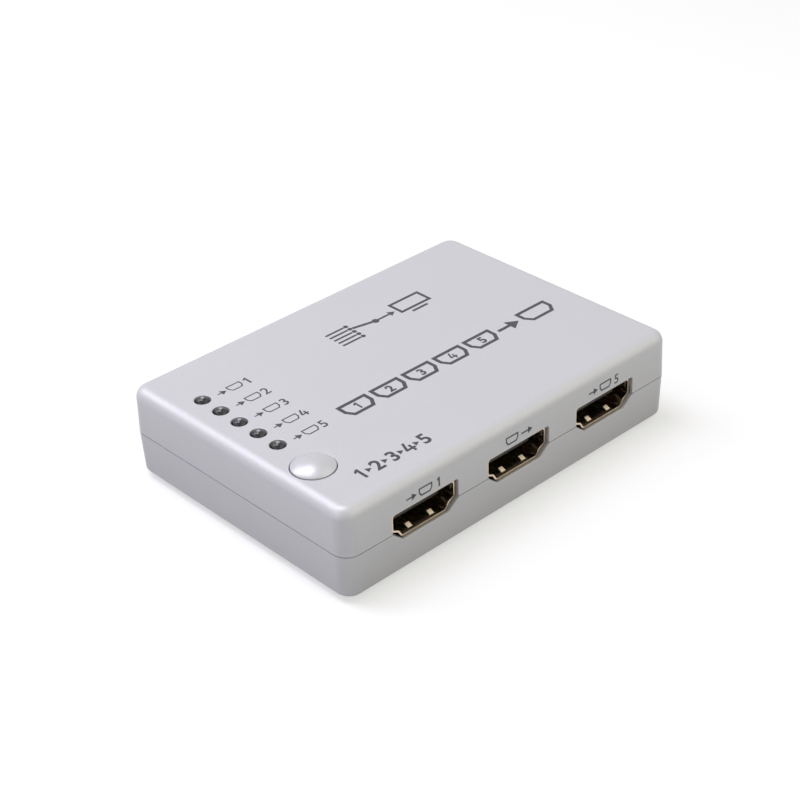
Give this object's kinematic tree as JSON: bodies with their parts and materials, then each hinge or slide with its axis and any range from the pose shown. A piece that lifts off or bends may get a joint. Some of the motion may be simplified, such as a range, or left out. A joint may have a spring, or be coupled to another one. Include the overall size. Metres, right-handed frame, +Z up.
{
  "type": "video switch box",
  "caption": "Flat silver box with a two-part case, video receptacles in its long sides, a row of indicator lamps and a domed select button that chooses which input goes to the output.",
  "frame": {"origin": "on the surface that the feet stand on, under the centre of the box", "axes": "+X along the long side towards the two jacks, +Y from the front row of receptacles to the back row, +Z up"},
  "size_m": [0.083, 0.059, 0.0205],
  "materials": {
    "case_paint": "silver paint, satin, very fine metal flake",
    "button_paint": "silver paint, glossier than the case",
    "screw_steel": "zinc-plated steel",
    "foot_rubber": "matt black rubber",
    "board": "green solder mask",
    "gold_shell": "pale gold-plated sheet, satin",
    "insulator_black": "moulded, matt",
    "gold_contact": "gold-plated, bright",
    "lamp_lens": "smoked clear resin, polished",
    "tinned_lead": "tinned, bright",
    "switch_plastic": "moulded, matt",
    "switch_steel": "rolled sheet",
    "jack_plastic": "moulded, satin",
    "jack_pin": "nickel-plated, bright",
    "chip_plastic": "moulded, matt",
    "crystal_can": "drawn can, satin",
    "capacitor_can": "sleeved can, glossy",
    "chip_ceramic": "ceramic, matt"
  },
  "bodies": {
    "case": {"top_shell": "case_paint", "bottom_shell": "case_paint", "case_screws": "screw_steel", "rubber_feet": "foot_rubber", "circuit_board": "board", "input_1_shell": "gold_shell", "output_shell": "gold_shell", "input_5_shell": "gold_shell", "input_2_shell": "gold_shell", "input_3_shell": "gold_shell", "input_4_shell": "gold_shell", "input_1_insulator": "insulator_black", "output_insulator": "insulator_black", "input_5_insulator": "insulator_black", "input_2_insulator": "insulator_black", "input_3_insulator": "insulator_black", "input_4_insulator": "insulator_black", "input_1_contacts": "gold_contact", "output_contacts": "gold_contact", "input_5_contacts": "gold_contact", "input_2_contacts": "gold_contact", "input_3_contacts": "gold_contact", "input_4_contacts": "gold_contact", "lamp_1": "lamp_lens", "lamp_2": "lamp_lens", "lamp_3": "lamp_lens", "lamp_4": "lamp_lens", "lamp_5": "lamp_lens", "lamp_leads": "tinned_lead", "switch_terminals": "tinned_lead", "power_jack_contacts": "tinned_lead", "remote_jack_contacts": "tinned_lead", "selector_leads": "tinned_lead", "microcontroller_leads": "tinned_lead", "regulator_leads": "tinned_lead", "switch_base": "switch_plastic", "switch_cover": "switch_steel", "switch_dome": "switch_steel", "power_jack_body": "jack_plastic", "remote_jack_body": "jack_plastic", "power_jack_pin": "jack_pin", "selector_chip": "chip_plastic", "microcontroller": "chip_plastic", "regulator": "chip_plastic", "crystal": "crystal_can", "bulk_capacitor": "capacitor_can", "chip_resistors": "chip_ceramic"},
    "button": {"select_button": "button_paint"},
    "plunger": {"switch_plunger": "switch_plastic"}
  },
  "joints": [
    {"name": "select_press", "type": "slide", "parent": "case", "child": "button", "axis": [0, 0, -1], "range_m": [0, 0.0003], "stiffness_N_per_m": 300, "springref_m": -0.0033},
    {"name": "plunger_press", "type": "slide", "parent": "case", "child": "plunger", "axis": [0, 0, -1], "range_m": [0, 0.0003], "deforming": ["switch_dome"]}
  ],
  "couplings": [
    {"joint": "plunger_press", "follows": "select_press", "ratio": 1}
  ]
}
